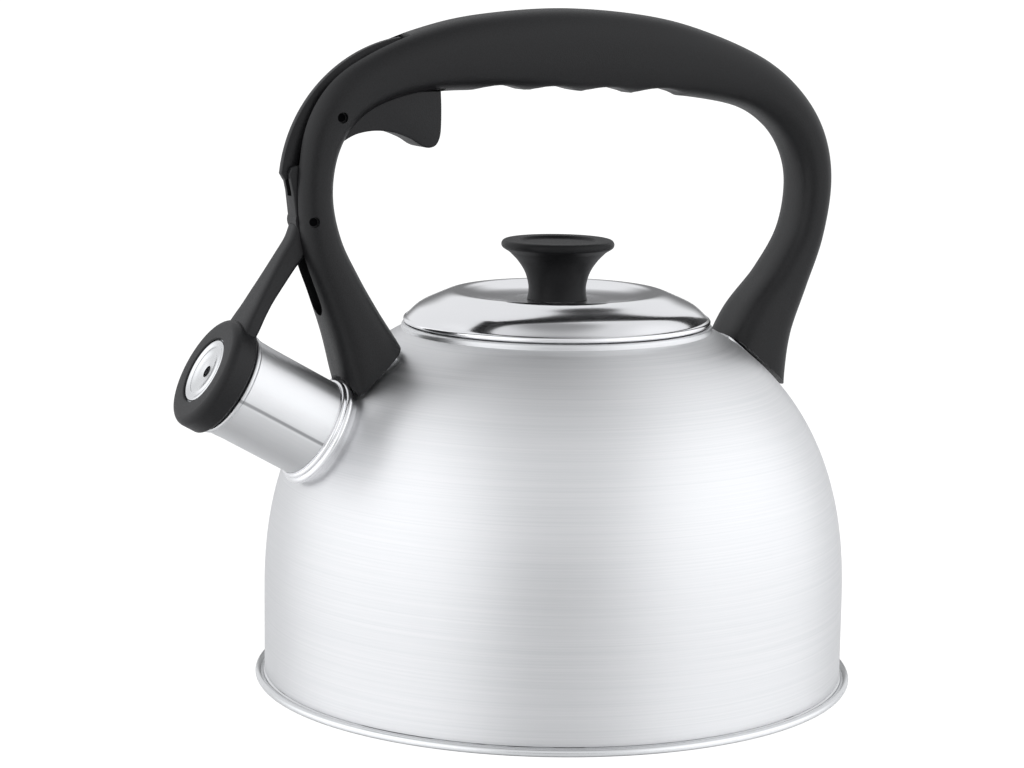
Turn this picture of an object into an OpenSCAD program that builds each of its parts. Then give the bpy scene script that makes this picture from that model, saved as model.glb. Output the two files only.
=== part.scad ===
// Stovetop whistling kettle with a squeeze trigger that lifts the spout cap.
// Frame: +Z up, Z = 0 is the surface it stands on, the origin is on the body's axis,
// the spout points to -X and the handle lies in the XZ plane. Millimetres.

/* [Body] */
// Outer radius of the seam rim at the base
rim_r = 110; // [106:0.5:114]
// Outer radius of the body above the rim
body_r = 106.6; // [104:0.1:108]
// Height at which the straight wall turns into the dome
wall_top = 31; // [25:1:36]
// Rise of the whole dome curve above the wall, before the neck cuts it off
dome_rise = 109.7; // [105:0.1:114]
// Fullness of the dome, where 2 is an ellipse
dome_power = 2.34; // [2.2:0.02:2.5]
// Sheet thickness of the shell
sheet = 0.9; // [0.7:0.1:1.2]

/* [Lid] */
// Radius of the neck opening
mouth_r = 54.6; // [53:0.1:55]
// Outer radius of the lid
lid_r = 56.1; // [56:0.1:57]
// Height of the lid's rim
lid_z = 132; // [131.8:0.1:133]
// Radius and height of the lid's crest
crest_r = 38; // [34:1:42]
// Height of the crest
crest_z = 143; // [141:0.5:145]
// Largest radius of the knob
knob_r = 20.6; // [18:0.1:22]
// Height of the knob's top
knob_top = 161.7; // [159:0.1:165]

/* [Spout] */
// Angle of the spout above the horizontal
spout_tilt = 30; // [28:1:32]
// Outer radius of the spout tube
spout_r = 17.85; // [16.5:0.05:18.5]
// Length of the spout from the collar to its mouth
spout_len = 38; // [36:0.5:40]
// Outer radius of the cap on the spout
cap_r = 20.3; // [19:0.1:20.5]

/* [Handle] */
// Width of the grip, across the handle
grip_w = 25; // [22:0.5:27]
// Width of the slot that the levers work in
slot_w = 10; // [9.6:0.1:10.5]
// Diameter of the two pivot pins
pin_d = 3; // [2.5:0.1:3.2]
// Depth of the finger scallops under the grip
scallop = 2; // [1:0.1:2.5]

/* [Hidden] */
$fn = 96;

steel = "#c9ccd0";
polished = "#dfe1e4";
alloy = "#a9adb1";
nylon = "#2c2c2e";
dark_nylon = "#1f1f21";
silicone = "#3f4144";

// Base, from the table up.
sole_r = 96;
sole_t = 0.8;
disc_t = 3.8;
pan_floor_z = sole_t + disc_t;
rim_z0 = 0.4;
rim_z1 = 3.1;

// Neck.
neck_r = 56.8;
neck_t = acos(pow(neck_r / body_r, dome_power / 2));
neck_top = lid_z - 0.8;
dome_steps = 24;

// Lid and knob.
skirt_r = mouth_r - 0.6;
knob_base_z = crest_z - 3.2;
knob_seat_r = 10;
stem_r = 10.4;
bolt_r = 2;

// Spout, along its own axis from the collar plane.
spout_x = -93.6;
spout_z = 97.2;
tube_wall = 0.9;
collar_r = spout_r + 2.45;
cap_s0 = spout_len + 1;
cap_s1 = spout_len + 10;
whistle_r = 12.2;
face_s = cap_s1 - 0.3;

// Pivots, as [x, z].
trigger_at = [-88.1, 207.6];
arm_at = [-98.3, 171.9];

// Where the tongues and the roll pins stand, as [x, z], and how the tongues lean.
front_tongue = [-75, 117.5];
front_lean = -23;
front_len = 26;
front_cross = [-79.6, 128.3];
rear_tongue = [78.5, 115];
rear_lean = 25;
rear_len = 26;
rear_cross = [83.1, 124.9];

// Levers and the return spring.
rib_centre = [-54, 182.2];
rib_out_r = 53.3;
rib_w = 3.2;
web_w = 8.8;
pad_w = 13.4;
running = 0.04;
hub_r = 4.6;
wire_d = 0.6;
coil_r = 2.15;
coil_pitch = 0.76;
coil_turns = 4.5;
coil_steps = 14;

// Stations of the handle as [x, z, depth, width, squareness], from the front foot back.
STATIONS = [
    [-66.7, 96, 27, 29, 4.2], [-70.5, 110, 26, 28, 4], [-75.3, 122, 23.6, 27, 3.6],
    [-81.1, 135, 19.6, 25.2, 3], [-87.1, 148, 17, 23.6, 2.7], [-93, 162, 15.4, 22.5, 2.5],
    [-95.8, 177, 13.8, 22, 2.5], [-95.2, 191, 14, 22, 2.5], [-91.6, 203.5, 16, 22.5, 2.5],
    [-83.8, 213.8, 17.8, 23, 2.5], [-71.5, 221, 19.2, 23.5, 2.5],
    [-54, 226.4, 22.4, 24.4, 2.5], [-32, 229.3, 26.6, grip_w, 2.5],
    [0, 230.1, 29.6, grip_w, 2.5], [32, 228.2, 28.6, grip_w, 2.5],
    [55, 224.8, 24.6, 24.4, 2.5], [77.8, 218, 20, 23.5, 2.5], [92.4, 208.2, 17.4, 23, 2.5],
    [101.4, 195.6, 15.8, 22.5, 2.5], [104.8, 180, 14.5, 22, 2.5],
    [101.8, 160.8, 14.1, 22.5, 2.6], [93.5, 143.5, 16.8, 24.4, 3], [83.7, 127, 22.8, 27, 3.6],
    [78.9, 112, 26.6, 28.6, 4], [77, 97, 29, 30, 4.2], [77.4, 82, 31, 31, 4.2]];
ring_steps = 3;
ring_sides = 20;
scallop_r = 28.6;

// ---------------------------------------------------------------- helpers

function side(a) = a < 0 ? -1 : 1;
function curve4(a, b, c, d, t) =
    0.5 * ((2 * b) + (c - a) * t + (2 * a - 5 * b + 4 * c - d) * t * t
    + (3 * b - a - 3 * c + d) * t * t * t);
function unit(v) = v / norm(v);
function arc(centre, r, a0, a1, steps) =
    [for (i = [0:steps]) let (a = a0 + (a1 - a0) * i / steps) centre + r * [cos(a), sin(a)]];
// A shallow bow from a to b that stands out by rise at its middle.
function bow(a, b, rise, steps) = let (d = unit(b - a)) [for (i = [0:steps]) let (t = i / steps)
    a + (b - a) * t + 4 * rise * t * (1 - t) * [d[1], -d[0]]];

// Points of the dome's meridian, moved out by grow, from the wall to the neck.
function dome(grow) = [for (i = [0:dome_steps]) let (t = neck_t * i / dome_steps)
    [(body_r + grow) * pow(cos(t), 2 / dome_power),
    wall_top + (dome_rise + grow) * pow(sin(t), 2 / dome_power)]];

// A flat outline in the XZ plane, given its width across the handle.
module across(w) {
    translate([0, w / 2, 0]) rotate([90, 0, 0]) linear_extrude(w) children();
}

// A rod along Y at [x, z].
module rod(at, d, w) {
    translate([at[0], w / 2, at[1]]) rotate([90, 0, 0]) cylinder(d = d, h = w);
}

// Places children on the spout's axis, with +Z pointing out of the spout.
module on_spout() {
    translate([spout_x, 0, spout_z]) rotate([0, spout_tilt - 90, 0]) children();
}

// A ring of rectangular section about the local Z axis.
module band(r0, r1, z0, z1) {
    rotate_extrude() translate([r0, z0]) square([r1 - r0, z1 - z0]);
}

// Everything inside the dome's surface moved out by grow.
module dome_solid(grow) {
    rotate_extrude() polygon(concat([[0, 2]], [[body_r + grow, 2]], dome(grow),
        [[0, wall_top + dome_rise * 0.88 + grow]]));
}

// ---------------------------------------------------------------- body

module body_shell() {
    color(steel) difference() {
        rotate_extrude() polygon(concat(
            [[body_r - sheet, rim_z1], [body_r, rim_z1]],
            dome(0),
            arc([neck_r - 1.1, neck_top - 1.1], 1.1, 10, 90, 6),
            [[mouth_r, neck_top], [mouth_r, neck_top - 10], [mouth_r + sheet, neck_top - 10]],
            [[mouth_r + sheet, neck_top - 3.2]],
            [for (i = [dome_steps:-1:0]) dome(-sheet)[i]]));
        on_spout() translate([0, 0, -24]) cylinder(r = spout_r - 2.2, h = 30);
    }
}

module base_pan() {
    color(steel) rotate_extrude() polygon(concat(
        [[0, pan_floor_z], [sole_r + 2, pan_floor_z], [sole_r + 4, rim_z0 + 0.6],
        [rim_r - 2.6, rim_z0]],
        arc([rim_r - 1.35, (rim_z0 + rim_z1) / 2], 1.35, -90, 90, 8),
        [[sole_r + 5.4, rim_z1], [sole_r + 3, pan_floor_z + sheet], [0, pan_floor_z + sheet]]));
}

module heat_disc() {
    color(alloy) translate([0, 0, sole_t]) cylinder(r = sole_r - 1, h = disc_t);
}

module sole_plate() {
    color(steel) rotate_extrude() polygon([[0, 0], [sole_r - 1.2, 0], [sole_r, 1.2],
        [sole_r, pan_floor_z], [sole_r - 1, pan_floor_z], [sole_r - 1, sole_t], [0, sole_t]]);
}

// ---------------------------------------------------------------- spout

module spout_tube() {
    color(steel) difference() {
        on_spout() rotate_extrude() polygon(concat(
            [[spout_r - tube_wall, -24], [spout_r, -24]],
            arc([spout_r - 0.3, spout_len - 1.1], 1.1, -60, 180, 8),
            [[spout_r - tube_wall, spout_len - 2.4]]));
        dome_solid(0);
    }
}

module spout_collar() {
    color(polished) difference() {
        on_spout() rotate_extrude() polygon(concat(
            [[spout_r + 0.1, -24], [collar_r, -24]],
            arc([collar_r - 1.4, -0.6], 1.4, 0, 90, 4),
            arc([collar_r - 2.1, 1.3], 1, -20, 110, 4),
            [[spout_r + 0.1, 2.6]]));
        dome_solid(0);
    }
}

module spout_strainer() {
    color(steel) on_spout() difference() {
        translate([0, 0, 7]) cylinder(r = spout_r - tube_wall, h = 0.8);
        for (row = [-2:2]) {
            for (col = [-2:2]) {
                x = (col + (row % 2 == 0 ? 0 : 0.5)) * 6.2;
                y = row * 5.4;
                if (norm([x, y]) < spout_r - 4.2)
                    translate([x, y, 6]) cylinder(d = 4.2, h = 3, $fn = 24);
            }
        }
    }
}

// Room that the collar takes at the root of the spout, with a gap round it.
module collar_room(gap) {
    on_spout() translate([0, 0, -30]) cylinder(r = collar_r + gap, h = 32.6 + gap);
}

// ---------------------------------------------------------------- handle mounts

// Footprint of a foot's saddle plate, out from the body's axis.
module footprint(margin) {
    translate([67 - margin, -9.5 - margin]) square([15 + 2 * margin, 19 + 2 * margin]);
}

// Tongue that runs up inside a leg, in the plane of the handle.
module tongue(at, lean, len, w, t) {
    translate([at[0], 0, at[1]]) rotate([0, lean, 0])
        translate([-t / 2, -w / 2, -6]) cube([t, w, len + 6]);
}

module bracket(turn, at, lean, len, t) {
    intersection() {
        difference() {
            dome_solid(1.2);
            dome_solid(0);
        }
        rotate([0, 0, turn]) linear_extrude(200) footprint(0);
    }
    difference() {
        tongue(at, lean, len, 8, t);
        dome_solid(0.6);
    }
}

module front_bracket() {
    color(polished) difference() {
        bracket(180, front_tongue, front_lean, front_len, 3);
        collar_room(0.3);
        rod(front_cross, pin_d, 40);
    }
}

module rear_bracket() {
    color(polished) difference() {
        bracket(0, rear_tongue, rear_lean, rear_len, 3);
        rod(rear_cross, pin_d, 40);
    }
}

module front_roll_pin() {
    color(alloy) difference() {
        translate([0, 2, 0]) rod(front_cross, pin_d, 18);
        translate([0, 2, 0]) rod(front_cross, pin_d - 1.2, 20);
    }
}

module rear_roll_pin() {
    color(alloy) difference() {
        translate([0, 2, 0]) rod(rear_cross, pin_d, 18);
        translate([0, 2, 0]) rod(rear_cross, pin_d - 1.2, 20);
    }
}

// ---------------------------------------------------------------- handle

function station(i, t) = curve4(STATIONS[i - 1], STATIONS[i], STATIONS[i + 1],
    STATIONS[i + 2], t);
PATH = concat([for (i = [1:len(STATIONS) - 3]) for (k = [0:ring_steps - 1])
    station(i, k / ring_steps)], [STATIONS[len(STATIONS) - 2]]);
function heading(i) = let (a = PATH[max(i - 1, 0)], b = PATH[min(i + 1, len(PATH) - 1)])
    unit([b[0] - a[0], b[1] - a[1]]);
function ring(i) = let (p = PATH[i], h = heading(i)) [for (j = [0:ring_sides - 1])
    let (a = 360 * (j + 0.5) / ring_sides,
        u = side(cos(a)) * pow(abs(cos(a)), 2 / p[4]) * p[2] / 2,
        v = side(sin(a)) * pow(abs(sin(a)), 2 / p[4]) * p[3] / 2)
    [p[0] - h[1] * u, v, p[1] + h[0] * u]];

module handle_bar() {
    n = ring_sides;
    m = len(PATH);
    polyhedron(
        points = [for (i = [0:m - 1]) each ring(i)],
        faces = concat(
            [for (i = [0:m - 2]) for (j = [0:n - 1])
                [i * n + j, i * n + (j + 1) % n, (i + 1) * n + (j + 1) % n]],
            [for (i = [0:m - 2]) for (j = [0:n - 1])
                [i * n + j, (i + 1) * n + (j + 1) % n, (i + 1) * n + j]],
            [[for (j = [n - 1:-1:0]) j]],
            [[for (j = [0:n - 1]) (m - 1) * n + j]]));
}

// Slot that opens to the front, and runs through to the inside at the trigger.
module lever_slot() {
    across(slot_w) polygon([[-130, 143], [-130, 250], [-60.5, 250], [-60.5, 228.5],
        [-70, 223], [-76, 216], [-70, 205], [-84.2, 200.5], [-91, 194], [-91.4, 178],
        [-89.6, 164], [-85.6, 150], [-84.6, 143]]);
    translate([-130, 0, 143]) rotate([0, 90, 0]) cylinder(d = slot_w, h = 130 - 84.6);
}

// Flat undersides of the two feet, which stand on the dome at their middle.
module foot_cuts() {
    across(60) polygon([[-50, 141.4], [-110, 83.4], [-50, 83.4]]);
    across(60) polygon([[50, 139.6], [110, 88.4], [50, 88.4]]);
    translate([-130, -40, 60]) cube([260, 80, 26]);
}

// Pocket under the grip that the trigger's finger pad rises into.
module pad_pocket() {
    across(14.4) polygon([[-90, 199], [-82, 214], [-74, 227], [-47.8, 227], [-47.8, 190],
        [-70, 190]]);
}

module handle() {
    color(nylon) difference() {
        handle_bar();
        foot_cuts();
        dome_solid(0.1);
        collar_room(0.4);
        intersection() {
            dome_solid(1.3);
            for (turn = [0, 180])
                rotate([0, 0, turn]) linear_extrude(200) footprint(0.15);
        }
        lever_slot();
        pad_pocket();
        for (i = [0:3])
            rod([-26.4 + 21 * i, 216 + scallop - 0.55 * i - scallop_r], 2 * scallop_r, 60);
        for (at = [trigger_at, arm_at]) {
            rod(at, pin_d, 60);
            for (s = [-1, 1])
                translate([0, s * 19.5, 0]) rod(at, pin_d + 0.9, 20);
        }
        tongue(front_tongue, front_lean, front_len + 0.4, 8, 3);
        tongue(rear_tongue, rear_lean, rear_len + 0.4, 8, 3);
        translate([0, 12, 0]) rod(front_cross, pin_d, 38);
        translate([0, 12, 0]) rod(rear_cross, pin_d, 38);
    }
}

module trigger_pin() {
    color(alloy) rod(trigger_at, pin_d, 19);
}

module cap_pin() {
    color(alloy) rod(arm_at, pin_d, 19);
}

// ---------------------------------------------------------------- return spring

COIL = [for (i = [0:coil_turns * coil_steps]) let (a = 90 + 360 * i / coil_steps)
    [arm_at[0] + coil_r * cos(a), coil_pitch * (i / coil_steps - coil_turns / 2),
    arm_at[1] + coil_r * sin(a)]];
WIRE = concat([COIL[0] + [7, 0, 0.4]], [COIL[0] + [2, 0, 0.05]], COIL,
    [COIL[len(COIL) - 1] + [-0.6, 0, 0]]);
function wire_heading(i) = unit(WIRE[min(i + 1, len(WIRE) - 1)] - WIRE[max(i - 1, 0)]);
function wire_ring(i) = let (h = wire_heading(i), b = unit(cross(h, [0.02, 1, 0.01])),
    c = cross(b, h)) [for (j = [0:7]) WIRE[i] + wire_d / 2 * (b * cos(45 * j) + c * sin(45 * j))];

module return_spring() {
    m = len(WIRE);
    color(alloy) polyhedron(
        points = [for (i = [0:m - 1]) each wire_ring(i)],
        faces = concat(
            [for (i = [0:m - 2]) for (j = [0:7])
                [i * 8 + j, (i + 1) * 8 + (j + 1) % 8, i * 8 + (j + 1) % 8]],
            [for (i = [0:m - 2]) for (j = [0:7])
                [i * 8 + j, (i + 1) * 8 + j, (i + 1) * 8 + (j + 1) % 8]],
            [[0, 1, 2, 3, 4, 5, 6, 7]],
            [[for (j = [7:-1:0]) (m - 1) * 8 + j]]));
}

// ---------------------------------------------------------------- trigger

module trigger_lever() {
    color(dark_nylon) difference() {
        union() {
            across(rib_w) polygon(concat(
                arc(rib_centre, rib_out_r, 99.5, 173.6, 20),
                [[-105.6, 185.8], [-102.9, 187.4]],
                arc(rib_centre, rib_out_r - 5.4, 172, 130, 10),
                [[-84, 205], [-76, 207], [-68, 221.6], [-62, 228.6]]));
            across(web_w) polygon(concat(
                arc(trigger_at, 5, 165, 270, 8),
                [[-80, 203.5], [-71, 205], [-74.5, 216], [-79, 220.6], [-87, 216]]));
            across(pad_w) polygon([[-87.6, 199.3], [-86.4, 199], [-83.8, 200.4], [-81.2, 201.4],
                [-77.5, 202.2], [-73.5, 202.4], [-69.5, 202.1], [-66.4, 201.6],
                [-61.5, 199.8], [-57.6, 197.6], [-54.2, 196.3], [-51.4, 197.1],
                [-49.7, 199.7], [-49.2, 204.6], [-49.2, 216.4], [-72, 216.4], [-78, 213.4],
                [-80, 210]]);
        }
        rod(trigger_at, pin_d + 2 * running, 30);
    }
}

// ---------------------------------------------------------------- cap and its arm

// Cap housing, along the spout's axis.
module cap_housing() {
    rotate_extrude() polygon(concat(
        [[whistle_r - 1.4, cap_s0 + 1.6], [whistle_r + 0.6, cap_s0 + 1.6]],
        [[whistle_r + 0.6, cap_s0]],
        arc([cap_r - 1.2, cap_s0 + 1.2], 1.2, -90, 0, 4),
        arc([cap_r - 3, cap_s1 - 3], 3, 0, 90, 6),
        arc([whistle_r + 0.6, cap_s1 - 0.6], 0.6, 90, 180, 4),
        [[whistle_r, cap_s0 + 3.2], [whistle_r - 1.4, cap_s0 + 3.2]]));
}

// Bar of the arm, cut from its side outline and its front outline.
module arm_bar() {
    intersection() {
        across(40) polygon([[-102.6, 191], [-104.4, 190], [-105, 188], [-103.7, 182],
            [-102.2, 169.6], [-119.5, 141.8], [-123.4, 137], [-124.6, 133.6], [-120.2, 131.1],
            [-117.3, 134.3], [-114.3, 139.5], [-111.4, 144.2], [-106.4, 150.6],
            [-101.8, 156.4], [-98.3 + hub_r, 168], [-98.3 + hub_r, 174], [-100.2, 180],
            [-100.6, 191]]);
        rotate([90, 0, -90]) translate([0, 0, 80]) linear_extrude(70) polygon([
            [-4.4, 200], [-4.4, 163], [-4.8, 158], [-5.5, 153], [-6.5, 147.5], [-7.4, 143],
            [-8.6, 138.5], [-10, 134], [-10, 120], [10, 120], [10, 134], [8.6, 138.5],
            [7.4, 143], [6.5, 147.5], [5.5, 153], [4.8, 158], [4.4, 163], [4.4, 200]]);
    }
}

module cap_arm() {
    color(nylon) difference() {
        union() {
            arm_bar();
            on_spout() cap_housing();
            rod(arm_at, 2 * hub_r, web_w);
        }
        rod(arm_at, pin_d + 2 * running, 30);
        rod(arm_at, 5.6, 4.2);
        across(4.2) polygon([[-97.8, 166], [-92, 166], [-92, 178.6], [-98.8, 178.6],
            [-98.8, 172.5], [-97.8, 172.5]]);
        across(4) polygon([[-110, 180.3], [-96, 180.3], [-96, 200], [-110, 200]]);
    }
}

module cap_seal() {
    color(silicone) on_spout() band(whistle_r + 1, cap_r - 1.8, cap_s0 - 0.6, cap_s0);
}

module whistle_face() {
    color(polished) on_spout() rotate_extrude() polygon(concat(
        [[1.8, face_s - 1.4], [3.4, face_s - 1.4], [4.4, face_s - 0.7], [8.6, face_s - 0.7]],
        [[9.4, face_s - 1], [whistle_r, face_s - 1], [whistle_r, face_s]],
        [[9.6, face_s], [8.8, face_s - 0.1], [4.2, face_s - 0.1], [3.2, face_s - 0.8]],
        [[1.8, face_s - 0.8]]));
}

module whistle_spacer() {
    color(alloy) on_spout() band(whistle_r - 1.4, whistle_r, cap_s0 + 4, face_s - 1);
}

module whistle_back() {
    color(polished) on_spout() band(1.8, whistle_r, cap_s0 + 3.2, cap_s0 + 4);
}

// ---------------------------------------------------------------- lid

module lid_shell() {
    crest = [crest_r, crest_z];
    foot = [knob_seat_r + 4, knob_base_z];
    color(polished) rotate_extrude() polygon(concat(
        arc([lid_r - 1, lid_z + 0.5], 1, -90, 70, 8),
        bow([lid_r - 1, lid_z + 1.6], crest, 2.2, 8),
        bow(crest - [2.5, 0.2], foot, -0.7, 6),
        [[bolt_r + 0.1, knob_base_z], [bolt_r + 0.1, knob_base_z - sheet]],
        bow(foot - [0, sheet], crest - [2.5, 0.2 + sheet], 0.7, 6),
        bow(crest - [0.4, sheet], [lid_r - 1.4, lid_z + 0.4], -2.2, 8),
        [[skirt_r, lid_z - 0.5]]));
}

module lid_skirt() {
    color(steel) rotate_extrude() polygon([[skirt_r - 1.8, lid_z - 9], [skirt_r - 0.8, lid_z - 9],
        [skirt_r, lid_z - 6.6], [skirt_r, lid_z - 0.5], [skirt_r - 0.9, lid_z - 0.5],
        [skirt_r - 0.9, lid_z - 6.4]]);
}

module knob_seat() {
    color(polished) band(bolt_r + 0.1, knob_seat_r, knob_base_z, knob_base_z + 0.8);
}

module lid_knob() {
    color(nylon) difference() {
        rotate_extrude() polygon(concat(
            [[0, knob_base_z + 0.8], [stem_r + 0.8, knob_base_z + 0.8]],
            [[stem_r, knob_base_z + 2.6], [stem_r, knob_base_z + 4.4]],
            [[stem_r + 1.2, knob_base_z + 9.6], [stem_r + 3.6, knob_base_z + 14]],
            [[stem_r + 6.6, knob_base_z + 16.8]],
            arc([knob_r - 1.9, knob_top - 2], 1.9, -70, 90, 8),
            [[14, knob_top - 0.5], [12.6, knob_top - 1.2], [0, knob_top - 2.2]]));
        translate([0, 0, knob_base_z - 1]) cylinder(r = bolt_r, h = 13);
    }
}

module knob_washer() {
    color(silicone) band(bolt_r + 0.1, 7, knob_base_z - sheet - 1, knob_base_z - sheet);
}

module knob_screw() {
    head_z = knob_base_z - sheet - 1;
    color(alloy) rotate_extrude() polygon([[0, head_z - 1.4], [1.4, head_z - 1.4],
        [1.4, head_z - 2.6], [3.4, head_z - 2.4], [4.2, head_z], [bolt_r, head_z],
        [bolt_r, knob_base_z + 10], [0, knob_base_z + 10.6]]);
}

body_shell();
base_pan();
heat_disc();
sole_plate();
spout_collar();
spout_tube();
spout_strainer();
front_bracket();
rear_bracket();
front_roll_pin();
rear_roll_pin();
handle();
trigger_pin();
cap_pin();
return_spring();
trigger_lever();
cap_arm();
cap_seal();
whistle_face();
whistle_spacer();
whistle_back();
lid_shell();
lid_skirt();
knob_seat();
lid_knob();
knob_washer();
knob_screw();
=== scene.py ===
"""Looks of a stovetop whistling kettle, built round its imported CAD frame.

The frame stands with +Z up, its origin on the body's axis, the spout towards -X and the
handle in the XZ plane. Sizes in the classes are millimetres, and meshes are metres.
"""
import logging
import math
from dataclasses import dataclass
from enum import Enum
from typing import Any, Sequence

import bmesh
import bpy
from bmesh.types import BMEdge, BMesh, BMVert
from bpy.types import Material, Node, NodeSocket, NodeTree, Object
from mathutils import Matrix, Vector


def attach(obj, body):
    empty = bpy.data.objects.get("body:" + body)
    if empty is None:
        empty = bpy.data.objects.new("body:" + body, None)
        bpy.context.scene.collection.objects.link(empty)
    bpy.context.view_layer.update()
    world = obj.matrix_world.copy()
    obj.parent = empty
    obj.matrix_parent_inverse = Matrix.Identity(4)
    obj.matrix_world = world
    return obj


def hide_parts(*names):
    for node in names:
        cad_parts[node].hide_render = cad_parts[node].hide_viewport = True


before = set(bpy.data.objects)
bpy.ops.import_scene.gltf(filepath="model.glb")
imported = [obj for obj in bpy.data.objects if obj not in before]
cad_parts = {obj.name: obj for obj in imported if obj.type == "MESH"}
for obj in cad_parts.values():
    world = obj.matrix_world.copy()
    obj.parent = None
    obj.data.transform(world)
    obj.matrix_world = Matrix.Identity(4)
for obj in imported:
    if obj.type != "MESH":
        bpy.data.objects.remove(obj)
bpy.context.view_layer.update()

LOG = logging.getLogger("kettle")
MM = 0.001
Point = tuple[float, float]
Corner = tuple[float, float, float]
Station = tuple[float, float, float, float, float]


# -------- outlines

def arc(centre: Point, radius: float, start: float, end: float, steps: int) -> list[Point]:
    """Points of a circular arc.

    Args:
        centre: Middle of the circle.
        radius: Radius of the circle.
        start: First angle in degrees, from the first axis.
        end: Last angle in degrees.
        steps: Number of chords.

    Returns:
        The arc's points, both ends included.
    """
    angles = [math.radians(start + (end - start) * i / steps) for i in range(steps + 1)]
    return [(centre[0] + radius * math.cos(a), centre[1] + radius * math.sin(a)) for a in angles]


def rounded(corners: Sequence[Corner], steps: int = 6) -> list[Point]:
    """A closed outline whose corners are rounded.

    Args:
        corners: Each corner as (first, second, radius), in order round the outline.
        steps: Chords in each rounded corner.

    Returns:
        The outline's points, without a repeat of the first.
    """
    points: list[Point] = []
    count = len(corners)
    for i, (x, z, radius) in enumerate(corners):
        here = Vector((x, z))
        before = Vector(corners[i - 1][:2]) - here
        after = Vector(corners[(i + 1) % count][:2]) - here
        half = before.angle(after, math.pi) / 2
        reach = radius / math.tan(half) if radius > 0 and half > 0.01 else 0.0
        reach = min(reach, 0.49 * before.length, 0.49 * after.length)
        if reach < 1e-4 or half > 1.56:
            points.append((x, z))
            continue
        first = here + before.normalized() * reach
        last = here + after.normalized() * reach
        for k in range(steps + 1):
            t = k / steps
            point = first * (1 - t) ** 2 + here * 2 * t * (1 - t) + last * t * t
            points.append((point.x, point.y))
    return points


def flowing(points: Sequence[Sequence[float]], steps: int) -> list[tuple[float, ...]]:
    """Points on a smooth curve that passes through every given point.

    Args:
        points: The points to pass through, of any dimension.
        steps: Stretches between each point and the next.

    Returns:
        The curve's points, both ends included.
    """
    ends = [points[0], *points, points[-1]]
    result: list[tuple[float, ...]] = []
    for i in range(1, len(ends) - 2):
        a, b, c, d = (ends[i + k] for k in (-1, 0, 1, 2))
        for k in range(steps):
            t = k / steps
            result.append(tuple(
                0.5 * (2 * q + (r - p) * t + (2 * p - 5 * q + 4 * r - s) * t * t
                       + (3 * q - p - 3 * r + s) * t ** 3)
                for p, q, r, s in zip(a, b, c, d)))
    result.append(tuple(points[-1]))
    return result


# -------- shapes

def lathe(outline: Sequence[Point], steps: int = 160, place: Matrix | None = None,
          closed: bool = True) -> BMesh:
    """Spins an outline of (radius, height) in mm about Z.

    Args:
        outline: The outline's points.
        steps: Number of slices in the full turn.
        place: Moves the result, in metres.
        closed: Joins the last point to the first.

    Returns:
        The closed shape.
    """
    bm = bmesh.new()
    verts = [bm.verts.new((r * MM, 0, z * MM)) for r, z in outline]
    pairs = list(zip(verts, verts[1:]))
    if closed:
        pairs.append((verts[-1], verts[0]))
    edges = [bm.edges.new(pair) for pair in pairs
             if not (pair[0].co.x < 1e-7 and pair[1].co.x < 1e-7)]
    bmesh.ops.spin(bm, geom=verts + edges, cent=(0, 0, 0), axis=(0, 0, 1),
                   angle=math.tau, steps=steps, use_merge=True)
    bmesh.ops.remove_doubles(bm, verts=bm.verts, dist=1e-7)
    bmesh.ops.dissolve_degenerate(bm, edges=bm.edges, dist=1e-8)
    bmesh.ops.recalc_face_normals(bm, faces=bm.faces)
    if place is not None:
        bmesh.ops.transform(bm, matrix=place, verts=bm.verts)
    return bm


def slab(outline: Sequence[Point], half_width: float, soften: float = 0.0,
         segments: int = 3) -> BMesh:
    """A plate in the XZ plane with its outline's edges softened.

    Args:
        outline: The plate's (x, z) points in mm.
        half_width: Half of the plate's width along Y, in mm.
        soften: Width of the bevel on both outlines, in mm.
        segments: Bevel segments.

    Returns:
        The closed plate.
    """
    bm = bmesh.new()
    verts = [bm.verts.new((x * MM, -half_width * MM, z * MM)) for x, z in outline]
    edges = [bm.edges.new(pair) for pair in zip(verts, verts[1:] + verts[:1])]
    face = bmesh.ops.edgeloop_fill(bm, edges=edges)["faces"][0]
    grown = bmesh.ops.extrude_face_region(bm, geom=[face])["geom"]
    moved = [g for g in grown if isinstance(g, BMVert)]
    bmesh.ops.translate(bm, verts=moved, vec=(0, 2 * half_width * MM, 0))
    bmesh.ops.recalc_face_normals(bm, faces=bm.faces)
    if soften > 0:
        rims = [e for e in bm.edges if abs(e.verts[0].co.y - e.verts[1].co.y) < 1e-9]
        bmesh.ops.bevel(bm, geom=rims, offset=soften * MM, affect="EDGES",
                        segments=segments, profile=0.5, material=-1, clamp_overlap=True)
    return bm


def rod(at: Point, radius: float, start: float = -20.0, end: float = 20.0,
        steps: int = 48) -> BMesh:
    """A rod along Y, which reaches past both sides of the handle unless it is told not to.

    Args:
        at: The rod's (x, z) in mm.
        radius: Radius in mm.
        start: Y of one end, in mm.
        end: Y of the other end, in mm.
        steps: Facets round the rod.

    Returns:
        The closed rod.
    """
    bm = bmesh.new()
    place = (Matrix.Translation((at[0] * MM, (start + end) / 2 * MM, at[1] * MM))
             @ Matrix.Rotation(math.pi / 2, 4, "X"))
    bmesh.ops.create_cone(bm, cap_ends=True, segments=steps, radius1=radius * MM,
                          radius2=radius * MM, depth=abs(end - start) * MM, matrix=place)
    return bm


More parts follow.
